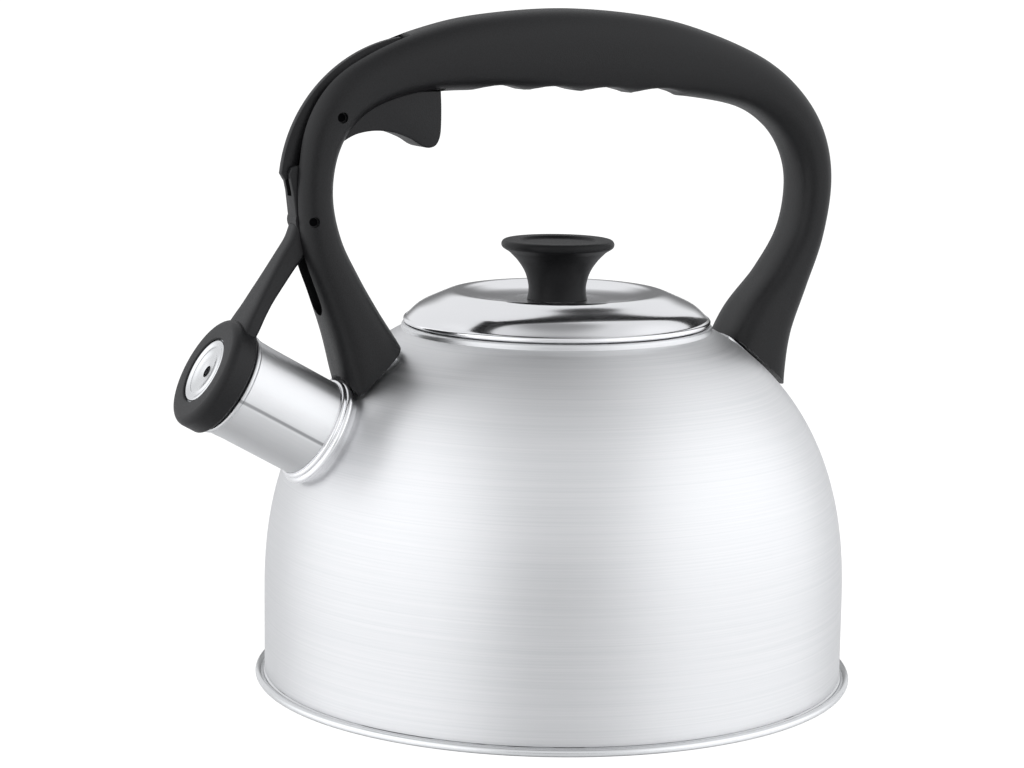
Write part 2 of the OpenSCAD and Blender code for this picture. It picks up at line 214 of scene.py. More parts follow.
def sweep(stations: Sequence[Station], sides: int) -> BMesh:
    """A bar that follows a path in the XZ plane, with a rounded section.

    Args:
        stations: (x, z, depth, width, squareness) at each place along the path, in mm.
        sides: Corners round the section.

    Returns:
        The closed bar.
    """
    bm = bmesh.new()
    side = bm.verts.layers.int.new("side")
    ring = bmesh.ops.create_circle(bm, cap_ends=False, radius=1.0, segments=sides)["verts"]
    for i, vert in enumerate(ring):
        vert[side] = i
    edges = list(bm.edges)
    last = len(stations) - 1
    for k, (x, z, depth, width, square) in enumerate(stations):
        if k:
            grown = bmesh.ops.extrude_edge_only(bm, edges=edges)["geom"]
            ring = [g for g in grown if isinstance(g, BMVert)]
            fresh = set(ring)
            edges = [g for g in grown if isinstance(g, BMEdge) and set(g.verts) <= fresh]
        ahead, behind = stations[min(k + 1, last)], stations[max(k - 1, 0)]
        heading = Vector((ahead[0] - behind[0], ahead[1] - behind[1])).normalized()
        for vert in ring:
            turn = math.tau * (vert[side] + 0.5) / sides
            c, s = math.cos(turn), math.sin(turn)
            out = math.copysign(abs(c) ** (2 / square), c) * depth / 2
            across = math.copysign(abs(s) ** (2 / square), s) * width / 2
            vert.co = Vector((x - heading.y * out, across, z + heading.x * out)) * MM
    bmesh.ops.holes_fill(bm, edges=[e for e in bm.edges if e.is_boundary], sides=0)
    bmesh.ops.recalc_face_normals(bm, faces=bm.faces)
    return bm


def as_object(bm: BMesh, name: str) -> Object:
    """Turns a bmesh into a linked object.

    Args:
        bm: The shape, which is freed.
        name: The object's name.

    Returns:
        The object.
    """
    mesh = bpy.data.meshes.new(name)
    bm.to_mesh(mesh)
    bm.free()
    obj = bpy.data.objects.new(name, mesh)
    bpy.context.scene.collection.objects.link(obj)
    return obj


class Cut(Enum):
    """How one solid changes another."""

    TAKE_AWAY = "DIFFERENCE"
    ADD = "UNION"


def carve(obj: Object, tool: BMesh, cut: Cut = Cut.TAKE_AWAY) -> None:
    """Cuts a solid out of an object's mesh, or adds it.

    Args:
        obj: The object to change.
        tool: The solid to take away or to add, which is freed.
        cut: Which of the two.
    """
    helper = as_object(tool, "tool")
    modifier = obj.modifiers.new("carve", "BOOLEAN")
    modifier.object = helper
    modifier.operation = cut.value
    modifier.solver = "EXACT"
    graph = bpy.context.evaluated_depsgraph_get()
    shaped = bpy.data.meshes.new_from_object(obj.evaluated_get(graph))
    obj.modifiers.clear()
    old = obj.data
    obj.data = shaped
    shaped.name = obj.name
    bpy.data.meshes.remove(old)
    bpy.data.objects.remove(helper)


def settle(obj: Object, crease: float = 32.0) -> None:
    """Merges doubles, shades an object smooth and keeps its true edges crisp.

    Args:
        obj: The object to settle.
        crease: Angle in degrees past which an edge stays crisp.
    """
    bm = bmesh.new()
    bm.from_mesh(obj.data)
    bmesh.ops.remove_doubles(bm, verts=bm.verts, dist=2e-6)
    bmesh.ops.dissolve_degenerate(bm, edges=bm.edges, dist=1e-7)
    limit = math.radians(crease)
    for face in bm.faces:
        face.smooth = True
    for edge in bm.edges:
        edge.smooth = edge.calc_face_angle(0.0) < limit
    bm.to_mesh(obj.data)
    bm.free()


# -------- finishes

def linear(code: str) -> tuple[float, float, float, float]:
    """Turns an sRGB hex value into a linear colour.

    Args:
        code: The value, such as "#c8c9ca".

    Returns:
        Red, green, blue and a full alpha.
    """
    parts = [int(code[i:i + 2], 16) / 255 for i in (1, 3, 5)]
    red, green, blue = (p / 12.92 if p <= 0.04045 else ((p + 0.055) / 1.055) ** 2.4
                        for p in parts)
    return red, green, blue, 1.0


def add_node(tree: NodeTree, kind: str, settings: dict[Any, Any] | None = None,
             links: dict[Any, Node | NodeSocket] | None = None) -> Node:
    """Adds a shader node.

    Args:
        tree: The node tree.
        kind: The node's type without the word ShaderNode, such as "TexNoise".
        settings: Properties and unlinked inputs, by name or by index.
        links: What to connect, by the name or index of this node's input: an output, or
            a node for its first output.

    Returns:
        The new node.
    """
    node = tree.nodes.new("ShaderNode" + kind)
    for key, value in (settings or {}).items():
        if isinstance(key, str) and hasattr(node, key):
            setattr(node, key, value)
        else:
            node.inputs[key].default_value = value
    for key, source in (links or {}).items():
        socket = source.outputs[0] if isinstance(source, Node) else source
        tree.links.new(socket, node.inputs[key])
    return node


@dataclass(frozen=True)
class Finish:
    """A surface of the kettle: what it is made of and how its surface was made."""

    name: str
    slot: str
    colour: str
    roughness: float

    def material(self) -> Material:
        """The finish as a material.

        Returns:
            The material, made once and shared.
        """
        found = bpy.data.materials.get(self.name)
        if found is not None:
            return found
        material = bpy.data.materials.new(self.name)
        material.use_nodes = True
        tree = material.node_tree
        tree.nodes.clear()
        shader = add_node(tree, "BsdfPrincipled",
                          {"Base Color": linear(self.colour), "Roughness": self.roughness})
        add_node(tree, "OutputMaterial", links={"Surface": shader})
        self.detail(tree, shader)
        return material

    def detail(self, tree: NodeTree, shader: Node) -> None:
        """Adds what sets this finish apart from a plain colour."""

    def noise(self, tree: NodeTree, scale: float, detail: float, roughness: float = 0.5,
              place: NodeSocket | None = None) -> NodeSocket:
        """A noise pattern over the surface.

        Args:
            tree: The material's nodes.
            scale: Ripples in a metre.
            detail: Finer layers over them.
            roughness: Strength of each finer layer.
            place: Where it is read, if not by the object's own coordinates.

        Returns:
            The pattern, from 0 to 1.
        """
        if place is None:
            place = add_node(tree, "TexCoord").outputs["Object"]
        return add_node(tree, "TexNoise",
                        {"Scale": scale, "Detail": detail, "Roughness": roughness},
                        {"Vector": place}).outputs[0]

    def vary(self, tree: NodeTree, shader: Node, pattern: NodeSocket, change: Point,
             bump: float, tints: tuple[str, str] | None = None) -> None:
        """Lets a pattern drive roughness, relief and colour.

        Args:
            tree: The material's nodes.
            shader: The surface shader.
            pattern: A value from 0 to 1.
            change: Added to the roughness where the pattern is 0 and where it is 1.
            bump: Height of the relief in metres.
            tints: Colours where the pattern is 0 and where it is 1.
        """
        level = add_node(tree, "MapRange",
                         {"From Min": 0.3, "From Max": 0.7,
                          "To Min": self.roughness + change[0],
                          "To Max": self.roughness + change[1]}, {"Value": pattern})
        tree.links.new(level.outputs[0], shader.inputs["Roughness"])
        relief = add_node(tree, "Bump", {"Strength": 1.0, "Distance": bump}, {"Height": pattern})
        tree.links.new(relief.outputs[0], shader.inputs["Normal"])
        if tints is not None:
            ramp = add_node(tree, "ValToRGB", links={0: pattern})
            for stop, place, tint in zip(ramp.color_ramp.elements, (0.32, 0.68), tints):
                stop.position = place
                stop.color = linear(tint)
            tree.links.new(ramp.outputs[0], shader.inputs["Base Color"])


class Brush(Enum):
    """Which way the brushing lines run."""

    ROUND_THE_BODY = "round"
    ALONG_THE_SPOUT = "along"


@dataclass(frozen=True)
class BrushedStainless(Finish):
    """Stainless steel sheet brushed with an abrasive belt.

    The fine parallel lines spread each reflection across them, so that the eye sees broad,
    soft bands of light with a thin streak here and there.
    """

    brush: Brush = Brush.ROUND_THE_BODY
    origin: Corner = (0.0, 0.0, 0.0)
    tilt: float = 0.0
    anisotropy: float = 0.7
    seam_turn: float = 0.0
    seam_width: float = 0.0
    seam_colour: str = "#57585a"
    seam_strength: float = 0.6
    groove_colour: str = "#d7d8d9"
    relief: float = 0.0000017
    round_scale: Corner = (9.0, 9.0, 1400.0)
    along_scale: Corner = (900.0, 900.0, 14.0)

    def detail(self, tree: NodeTree, shader: Node) -> None:
        """Adds the brushing lines, the way they spread light, and a tube's weld seam.

        Args:
            tree: The material's nodes.
            shader: The surface shader.
        """
        shader.inputs["Metallic"].default_value = 1.0
        shader.inputs["Anisotropic"].default_value = self.anisotropy
        local = add_node(tree, "Mapping",
                         {"vector_type": "TEXTURE", "Location": self.origin,
                          "Rotation": (0.0, self.tilt, 0.0)},
                         {"Vector": add_node(tree, "TexCoord").outputs["Object"]})
        # Real lines are 0.05 to 0.1 mm apart. They are drawn about 0.7 mm apart, to show.
        if self.brush is Brush.ROUND_THE_BODY:
            lines = self.round_lines(tree, local.outputs[0])
        else:
            lines = add_node(tree, "Mapping", {"Scale": self.along_scale},
                             {"Vector": local}).outputs[0]
        self.vary(tree, shader, self.noise(tree, 1.0, 3.0, 0.65, lines),
                  (-0.03, 0.04), self.relief,
                  (self.groove_colour, self.colour))
        if self.seam_width > 0:
            self.seam(tree, shader, local.outputs[0])
        axis = (math.sin(self.tilt), 0.0, math.cos(self.tilt))
        normal = add_node(tree, "NewGeometry").outputs["Normal"]
        around = add_node(tree, "VectorMath", {"operation": "CROSS_PRODUCT", 0: axis},
                          {1: normal})
        spread = around
        if self.brush is Brush.ROUND_THE_BODY:
            spread = add_node(tree, "VectorMath", {"operation": "CROSS_PRODUCT"},
                              {0: normal, 1: around})
        tree.links.new(spread.outputs[0], shader.inputs["Tangent"])

    def seam(self, tree: NodeTree, shader: Node, local: NodeSocket) -> None:
        """Darkens the thin line of a ground-down weld along the tube.

        Args:
            tree: The material's nodes.
            shader: The surface shader, whose colour is already linked.
            local: Place on the surface, about the tube's axis.
        """
        apart = add_node(tree, "SeparateXYZ", links={0: local})
        turn = add_node(tree, "Math", {"operation": "ARCTAN2"}, {0: apart.outputs[1], 1: apart})
        off = add_node(tree, "Math", {"operation": "SUBTRACT", 1: self.seam_turn}, {0: turn})
        away = add_node(tree, "Math", {"operation": "ABSOLUTE"}, {0: off})
        weld = add_node(tree, "MapRange",
                        {"From Min": self.seam_width * 0.4, "From Max": self.seam_width,
                         "To Min": self.seam_strength, "To Max": 0.0},
                        {"Value": away})
        sheet = shader.inputs["Base Color"].links[0].from_socket
        both = add_node(tree, "Mix",
                        {"data_type": "RGBA", 7: linear(self.seam_colour)},
                        {0: weld, 6: sheet})
        tree.links.new(both.outputs[2], shader.inputs["Base Color"])

    def round_lines(self, tree: NodeTree, local: NodeSocket) -> NodeSocket:
        """Coordinates that change fast up the wall and slowly round it.

        Args:
            tree: The material's nodes.
            local: Place on the surface, about the body's axis.

        Returns:
            The stretched coordinates.
        """
        apart = add_node(tree, "SeparateXYZ", links={0: local})
        flat = add_node(tree, "VectorMath", {"operation": "MULTIPLY",
                                                       1: (1.0, 1.0, 0.0)}, {0: local})
        radius = add_node(tree, "VectorMath", {"operation": "LENGTH"}, {0: flat})
        climb = add_node(tree, "Math", {"operation": "SUBTRACT"},
                         {0: apart.outputs[2], 1: radius.outputs["Value"]})
        joined = add_node(tree, "CombineXYZ", links={0: apart, 1: apart.outputs[1], 2: climb})
        return add_node(tree, "Mapping", {"Scale": self.round_scale},
                        {"Vector": joined}).outputs[0]


@dataclass(frozen=True)
class PolishedStainless(Finish):
    """Stainless steel buffed to a mirror, with the faint haze that buffing leaves."""

    waves: float = 65.0
    relief: float = 0.000004

    def detail(self, tree: NodeTree, shader: Node) -> None:
        """Adds the haze as a slow change in roughness and the buffing as faint relief.

        Args:
            tree: The material's nodes.
            shader: The surface shader.
        """
        shader.inputs["Metallic"].default_value = 1.0
        # Buffing leaves waves some 15 mm across in a thin pressed sheet.
        self.vary(tree, shader, self.noise(tree, self.waves, 4.0),
                  (-0.3 * self.roughness, 0.5 * self.roughness), self.relief)


@dataclass(frozen=True)
class MouldedNylon(Finish):
    """Glass-filled nylon from an etched mould: matt, with a fine grain and a soft sheen."""

    raised: str
    sheen: float
    grain: float = 2000.0
    relief: float = 0.00005

    def detail(self, tree: NodeTree, shader: Node) -> None:
        """Adds the mould's fine grain, which is a little paler where it is raised.

        Args:
            tree: The material's nodes.
            shader: The surface shader.
        """
        shader.inputs["IOR"].default_value = 1.5
        shader.inputs["Specular IOR Level"].default_value = self.sheen
        # The etched grain is about 0.15 mm, and is drawn at about 0.5 mm to show.
        self.vary(tree, shader, self.noise(tree, self.grain, 2.0, 0.6),
                  (-0.07, 0.07), self.relief,
                  (self.colour, self.raised))


@dataclass(frozen=True)
class Silicone(Finish):
    """Food-grade silicone: dull and slightly waxy."""

    clouds: float = 900.0
    relief: float = 0.00001

    def detail(self, tree: NodeTree, shader: Node) -> None:
        """Adds silicone's low shine and a faint moulded unevenness.

        Args:
            tree: The material's nodes.
            shader: The surface shader.
        """
        shader.inputs["IOR"].default_value = 1.42
        self.vary(tree, shader, self.noise(tree, self.clouds, 2.0), (-0.05, 0.05), self.relief)


@dataclass(frozen=True)
class PlainMetal(Finish):
    """Drawn, rolled or blackened metal, with the short scratches of being handled."""

    scratches: Corner = (1500.0, 200.0, 700.0)
    relief: float = 0.000004

    def detail(self, tree: NodeTree, shader: Node) -> None:
        """Adds the scratches as stretched noise.

        Args:
            tree: The material's nodes.
            shader: The surface shader.
        """
        shader.inputs["Metallic"].default_value = 1.0
        lines = add_node(tree, "Mapping", {"Scale": self.scratches},
                         {"Vector": add_node(tree, "TexCoord").outputs["Object"]})
        self.vary(tree, shader, self.noise(tree, 1.0, 3.0, place=lines.outputs[0]),
                  (-0.06, 0.1), self.relief)


SPOUT_AT = (-93.6, 0.0, 97.2)
SPOUT_TILT = 30.0
SEAM_TURN = -102.0
BODY_STEEL = BrushedStainless("brushed_stainless_body", "brushed_stainless", "#e0e0e1", 0.42,
                              anisotropy=0.45)
SPOUT_STEEL = BrushedStainless(
    "brushed_stainless_spout", "brushed_stainless", "#dadadb", 0.34, Brush.ALONG_THE_SPOUT,
    tuple(c * MM for c in SPOUT_AT), math.radians(SPOUT_TILT - 90), 0.6,
    math.radians(SEAM_TURN), 0.045)
MIRROR_STEEL = PolishedStainless("polished_stainless", "polished_stainless", "#e2e3e4", 0.05)
RIM_STEEL = PolishedStainless("polished_stainless_rim", "polished_stainless", "#dcddde", 0.14)
GRIP_NYLON = MouldedNylon("moulded_nylon_grip", "black_nylon", "#09090a", 0.42, "#151517", 0.3)
LEVER_NYLON = MouldedNylon("moulded_nylon_lever", "black_nylon", "#0e0e0f", 0.46, "#1a1a1c", 0.3)
KNOB_NYLON = MouldedNylon("moulded_nylon_knob", "black_nylon", "#070708", 0.45, "#0e0e10", 0.22)
SEAL_SILICONE = Silicone("moulded_silicone", "silicone", "#2c2d2f", 0.6)
DISC_ALUMINIUM = PlainMetal("cast_aluminium", "disc_aluminium", "#b4b6b8", 0.45)
SPRING_STEEL = PlainMetal("drawn_spring_steel", "spring_steel", "#8d9093", 0.3)
PIN_STEEL = PlainMetal("blackened_pin_steel", "spring_steel", "#0b0b0c", 0.6)


def dress(finish: Finish, *nodes: str) -> None:
    """Gives CAD nodes a finish, leaves their meshes alone and reports them.

    Args:
        finish: Their surface.
        nodes: The nodes' names.
    """
    for node in nodes:
        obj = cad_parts[node]
        obj.data.materials.clear()
        obj.data.materials.append(finish.material())
        LOG.info("dressed %s in %s", node, finish.name)


def fit(obj: Object, body: str, finish: Finish, *stands_for: str,
        crease: float = 32.0) -> Object:
    """Finishes a new piece: shading, material, body and the CAD nodes it replaces.

    Args:
        obj: The new piece.
        body: The body that it moves with.
        finish: Its surface.
        stands_for: The CAD nodes that it is shown in place of.
        crease: Angle in degrees past which an edge stays crisp.

    Returns:
        The piece.
    """
    settle(obj, crease)
    obj.data.materials.clear()
    obj.data.materials.append(finish.material())
    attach(obj, body)
    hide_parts(*stands_for)
    LOG.info("%s: %d faces, on %s", obj.name, len(obj.data.polygons), body)
    return obj


# -------- sub-assemblies

@dataclass
class BodyAssembly:
    """The drawn dome with its rolled neck, and the base pan that stands out below it."""

    body_r: float = 106.6
    wall_top: float = 31.0
    dome_rise: float = 109.7
    dome_power: float = 2.34
    sheet: float = 0.9
    neck_r: float = 56.8
    neck_top: float = 131.2
    neck_roll: float = 1.1
    mouth_r: float = 54.6
    rim_r: float = 110.0
    rim_low: float = 0.4
    rim_high: float = 3.1
    sole_r: float = 96.0
    pan_floor: float = 4.6

    def meridian(self, grow: float, steps: int = 110) -> list[Point]:
        """The dome's side curve, from the wall up to the neck.

        Args:
            grow: How far the curve is moved outwards, in mm.
            steps: Number of chords.

        Returns:
            Points as (radius, height) in mm.
        """
        last = math.acos((self.neck_r / self.body_r) ** (self.dome_power / 2))
        power = 2 / self.dome_power
        return [((self.body_r + grow) * math.cos(t) ** power,
                 self.wall_top + (self.dome_rise + grow) * math.sin(t) ** power)
                for t in (last * i / steps for i in range(steps + 1))]

    def solid(self, grow: float) -> BMesh:
        """Everything inside the dome, as a tool for cutting.

        Args:
            grow: How far it is moved outwards, in mm.

        Returns:
            The closed tool.
        """
        curve = self.meridian(grow, 60)
        top = curve[-1][1] + 4
        return lathe([(0, 2), (self.body_r + grow, 2), *curve, (40, top), (0, top)], 120)

    def shell(self) -> Object:
        """The drawn body with its wall thickness and rolled neck.

        Returns:
            The piece.
        """
        inner = [(self.mouth_r, self.neck_top - 10), (self.mouth_r + self.sheet,
                 self.neck_top - 10), (self.mouth_r + self.sheet, self.neck_top - 3.2)]
        outline = [(self.body_r - self.sheet, self.rim_high + 0.05),
                   *((self.body_r, self.rim_high + 0.05 + z) for z in (0, 6, 12, 18, 24)),
                   *self.meridian(0),
                   *arc((self.neck_r - self.neck_roll, self.neck_top - self.neck_roll),
                        self.neck_roll, 0, 90, 12),
                   (self.mouth_r + 0.5, self.neck_top), (self.mouth_r, self.neck_top - 0.5),
                   *inner, *reversed(self.meridian(-self.sheet, 60))]
        return as_object(lathe(outline, 256), "body")

    def base(self) -> Object:
        """The base pan, whose rolled edge stands out as the seam rim.

        Returns:
            The piece.
        """
        middle = (self.rim_low + self.rim_high) / 2
        half = (self.rim_high - self.rim_low) / 2
        outline = [(0, self.pan_floor), (self.sole_r + 2, self.pan_floor),
                   (self.sole_r + 4, self.rim_low + 0.6), (self.rim_r - 2.6, self.rim_low),
                   *arc((self.rim_r - half, middle), half, -90, 90, 14),
                   (self.rim_r - 2.2, self.rim_high - 0.15),
                   (self.body_r + 0.5, self.rim_high - 0.5),
                   (self.body_r - 0.3, self.rim_high), (self.sole_r + 5.4, self.rim_high),
                   (self.sole_r + 3, self.pan_floor + self.sheet),
                   (0, self.pan_floor + self.sheet)]
        return as_object(lathe(outline, 256), "base_rim")

    def build(self) -> None:
        """Builds the body and dresses the layers under it."""
        fit(self.shell(), "kettle", BODY_STEEL, "body_shell")
        fit(self.base(), "kettle", RIM_STEEL, "base_pan")
        dress(DISC_ALUMINIUM, "heat_disc")
        dress(RIM_STEEL, "sole_plate")


@dataclass
class SpoutAssembly:
    """The straight spout with its rolled mouth, and the beaded collar at its root."""

    body: BodyAssembly
    radius: float = 17.85
    wall: float = 0.9
    length: float = 38.0
    root: float = -24.0
    collar_r: float = 20.3
    seam_half: float = 0.5
    seam_depth: float = 0.12

    def place(self) -> Matrix:
        """Takes the spout's own axis, along Z, to its place on the body."""
        return (Matrix.Translation(Vector(SPOUT_AT) * MM)
                @ Matrix.Rotation(math.radians(SPOUT_TILT - 90), 4, "Y"))

    def tube(self) -> Object:
        """The tube, with a curled lip and a shallow weld seam along its lower side.

        Returns:
            The piece.
        """
        straight = self.length - 3.6 - self.root
        outline = [(self.radius - self.wall, self.root), (self.radius, self.root),
                   *((self.radius, self.root + straight * i / 12) for i in range(1, 12)),
                   *arc((self.radius - 0.3, self.length - 1.1), 1.1, -60, 180, 14),
                   (self.radius - self.wall, self.length - 2.6)]
        bm = lathe(outline, 144)
        seam = math.radians(SEAM_TURN)
        for vert in bm.verts:
            off = math.atan2(vert.co.y, vert.co.x) - seam
            off = abs(math.remainder(off, math.tau)) * self.radius
            if off < self.seam_half and vert.co.z < (self.length - 3) * MM:
                vert.co.xy = vert.co.xy * (1 - self.seam_depth / self.radius)
        bmesh.ops.transform(bm, matrix=self.place(), verts=bm.verts)
        obj = as_object(bm, "spout")
        carve(obj, self.body.solid(0.0))
        return obj

    def collar(self) -> Object:
        """The polished ring over the joint of spout and body, with two beads.

        Returns:
            The piece.
        """
        neck = self.radius + 0.7
        outline = [(self.radius + 0.1, self.root), (neck, self.root), (neck, -2.4),
                   (self.collar_r - 1.6, -2.0),
                   *arc((self.collar_r - 1.4, -0.6), 1.4, -70, 80, 12),
                   *arc((self.collar_r - 2.1, 1.3), 1.0, -20, 110, 12),
                   (self.radius + 0.1, 2.6)]
        obj = as_object(lathe(outline, 144, self.place()), "spout_ring")
        carve(obj, self.body.solid(0.0))
        return obj

    def build(self) -> None:
        """Builds the tube and the collar, and dresses the strainer."""
        fit(self.tube(), "kettle", SPOUT_STEEL, "spout_tube")
        fit(self.collar(), "kettle", MIRROR_STEEL, "spout_collar")
        dress(RIM_STEEL, "spout_strainer")


@dataclass
class LidAssembly:
    """The mirror-polished lid with its dished middle, and its waisted knob."""

    rim_r: float = 56.1
    rim_z: float = 132.0
    crest_r: float = 38.0
    crest_z: float = 143.0
    seat_z: float = 139.8
    seat_r: float = 10.15
    sheet: float = 0.9
    knob_r: float = 20.6
    knob_top: float = 161.7
    stem_r: float = 10.4
    bolt_r: float = 2.1

    def top_curve(self, sink: float) -> list[Point]:
        """The lid's upper side.

        Args:
            sink: How far it is moved down, in mm.

        Returns:
            Points as (radius, height) in mm, from the rim to the middle.
        """
        knots = [(self.rim_r - 1.0 - sink * 0.5, self.rim_z + 1.6 - sink),
                 (self.rim_r - 5.6 - sink * 0.6, self.rim_z + 5.7 - sink),
                 (self.crest_r + 5.6, self.crest_z - 2.0 - sink),
                 (self.crest_r + 1, self.crest_z - 0.2 - sink),
                 (self.crest_r - 2, self.crest_z - 0.1 - sink),
                 (self.crest_r - 5, self.crest_z - 0.9 - sink),
                 (self.crest_r - 11, self.crest_z - 2.3 - sink),
                 (self.crest_r - 18, self.seat_z + 0.15 - sink), (14.0, self.seat_z - sink)]
        return [(p[0], p[1]) for p in flowing(knots, 12)]

    def shell(self) -> Object:
        """The pressed lid with its rolled edge.

        Returns:
            The piece.
        """
        outline = [(self.rim_r - 2.1, self.rim_z - 0.5),
                   *arc((self.rim_r - 1.0, self.rim_z + 0.5), 1.0, -90, 70, 12),
                   *self.top_curve(0), (self.bolt_r, self.seat_z),
                   (self.bolt_r, self.seat_z - self.sheet),
                   *reversed(self.top_curve(self.sheet))]
        return as_object(lathe(outline, 192), "lid")

    def knob(self) -> Object:
        """The knob: a waisted stem that flares to a rounded edge round a dished top.

        Returns:
            The piece.
        """
        low = self.seat_z + 0.8
        stem = flowing([(self.stem_r + 0.6, self.seat_z + 0.1), (self.stem_r + 0.1, low + 2.2),
                        (self.stem_r + 0.3, low + 5.2), (self.stem_r + 1.6, low + 9.4),
                        (self.stem_r + 4.2, low + 13.4), (self.knob_r - 2.9, low + 16.6)], 8)
        edge = arc((self.knob_r - 1.7, self.knob_top - 1.75), 1.7, -62, 90, 14)
        dish = rounded([(self.knob_r - 2.6, self.knob_top, 0), (14.4, self.knob_top - 0.1, 0.8),
                        (13.6, self.knob_top - 1.1, 0.6), (0, self.knob_top - 2.0, 0),
                        (0, low, 0), (self.seat_r, low, 0),
                        (self.seat_r, self.seat_z + 0.1, 0)], 5)
        outline = [*((p[0], p[1]) for p in stem), *edge, *dish[1:]]
        return as_object(lathe(outline, 144), "knob")

    def build(self) -> None:
        """Builds the lid and its knob, and dresses what holds them together."""
        fit(self.shell(), "lid", MIRROR_STEEL, "lid_shell")
        fit(self.knob(), "lid", KNOB_NYLON, "lid_knob", crease=40)
        dress(RIM_STEEL, "lid_skirt")
        dress(MIRROR_STEEL, "knob_seat")
        dress(SEAL_SILICONE, "knob_washer")
        dress(SPRING_STEEL, "knob_screw")


@dataclass
class HandleAssembly:
    """The moulded arch that carries the levers, slotted in front and scalloped below."""

    body: BodyAssembly
    spout: SpoutAssembly
    stations: Sequence[Station] = (
        (-66.7, 96, 27, 29, 4.2), (-70.5, 110, 26, 28, 4), (-75.3, 122, 23.6, 27, 3.6),
        (-81.1, 135, 19.6, 25.2, 3), (-87.1, 148, 17, 23.6, 2.7), (-93, 162, 15.4, 22.5, 2.5),
        (-95.8, 177, 13.8, 22, 2.5), (-95.2, 191, 14, 22, 2.5), (-91.6, 203.5, 16, 22.5, 2.5),
        (-83.8, 213.8, 17.8, 23, 2.5), (-71.5, 221, 19.2, 23.5, 2.5),
        (-54, 226.4, 22.4, 24.4, 2.5), (-32, 229.3, 26.6, 25, 2.5), (0, 230.1, 29.6, 25, 2.5),
        (32, 228.2, 28.6, 25, 2.5), (55, 224.8, 24.6, 24.4, 2.5), (77.8, 218, 20, 23.5, 2.5),
        (92.4, 208.2, 17.4, 23, 2.5), (101.4, 195.6, 15.8, 22.5, 2.5),
        (104.8, 180, 14.5, 22, 2.5), (101.8, 160.8, 14.1, 22.5, 2.6),
        (93.5, 143.5, 16.8, 24.4, 3), (83.7, 127, 22.8, 27, 3.6), (78.9, 112, 26.6, 28.6, 4),
        (77, 97, 29, 30, 4.2), (77.4, 82, 31, 31, 4.2))
    scallops: int = 4
    scallop_r: float = 28.6
    scallop_at: Point = (-26.4, 218.0)
    scallop_step: Point = (21.0, -0.55)
    scallop_half: float = 11.0
    arch_low: float = 200.0
    collar_gap: float = 0.4
    slot_front: float = -130.0
    slot_back: float = -84.6
    slot_low: float = 143.0
    slot_w: float = 10.0
    pocket_w: float = 14.4
    pins: Sequence[Point] = ((-88.1, 207.6), (-98.3, 171.9))
    pin_r: float = 1.5
    recess_r: float = 1.95
    recess_y: float = 9.5

    def bar(self) -> BMesh:
        """The arch, with the finger scallops pressed into its underside.

        Returns:
            The closed arch.
        """
        bm = sweep(flowing(self.stations, 14), 64)
        for vert in bm.verts:
            x, z = vert.co.x / MM, vert.co.z / MM
            for i in range(self.scallops):
                along = x - self.scallop_at[0] - i * self.scallop_step[0]
                if abs(along) > self.scallop_half or z < self.arch_low:
                    continue
                top = (self.scallop_at[1] + i * self.scallop_step[1] - self.scallop_r
                       + math.sqrt(self.scallop_r ** 2 - along ** 2))
                vert.co.z = max(vert.co.z, top * MM)
        return bm

    def trim_feet(self, obj: Object) -> None:
        """Ends both feet on the dome, clear of the spout's collar.

        Args:
            obj: The handle.
        """
        carve(obj, slab([(-50, 141.4), (-110, 83.4), (-50, 83.4)], 30))
        carve(obj, slab([(50, 139.6), (110, 88.4), (50, 88.4)], 30))
        carve(obj, self.body.solid(0.1))
        room = self.spout.collar_r + self.collar_gap
        carve(obj, lathe([(0, -30), (room, -30), (room, 3), (0, 3)], 96, self.spout.place()))

    def cut_slot(self, obj: Object) -> None:
        """Cuts the slot for the levers, with a round lower end, and the finger pad's pocket.

        Args:
            obj: The handle.
        """
        front, back, low = self.slot_front, self.slot_back, self.slot_low
        carve(obj, slab([(front, low), (front, 250), (-60.5, 250), (-60.5, 228.5), (-70, 223),
                         (-76, 216), (-70, 205), (-84.2, 200.5), (-91, 194), (-91.4, 178),
                         (-89.6, 164), (-85.6, 150), (back, low)], self.slot_w / 2))
        end = (Matrix.Translation(Vector(((front + back) / 2, 0, low)) * MM)
               @ Matrix.Rotation(math.pi / 2, 4, "Y"))
        tip = bmesh.new()
        bmesh.ops.create_cone(tip, cap_ends=True, segments=48, radius1=self.slot_w / 2 * MM,
                              radius2=self.slot_w / 2 * MM, depth=(back - front) * MM,
                              matrix=end)
        carve(obj, tip)
        carve(obj, slab([(-90, 199), (-82, 214), (-74, 227), (-47.8, 227), (-47.8, 190),
                         (-70, 190)], self.pocket_w / 2))

    def drill(self, obj: Object) -> None:
        """Drills the pins' holes, each with a shallow recess on both sides.

        Args:
            obj: The handle.
        """
        for pin in self.pins:
            carve(obj, rod(pin, self.pin_r))
            carve(obj, rod(pin, self.recess_r, end=-self.recess_y))
            carve(obj, rod(pin, self.recess_r, start=self.recess_y))

    def build(self) -> None:
        """Builds the handle, cuts it for its levers and its feet, and dresses its fixings."""
        obj = as_object(self.bar(), "grip")
        self.trim_feet(obj)
        self.cut_slot(obj)
        self.drill(obj)
        fit(obj, "kettle", GRIP_NYLON, "handle", crease=38)
        dress(BODY_STEEL, "front_bracket", "rear_bracket")
        dress(SPRING_STEEL, "front_roll_pin", "rear_roll_pin", "return_spring")
        dress(PIN_STEEL, "trigger_pin", "cap_pin")


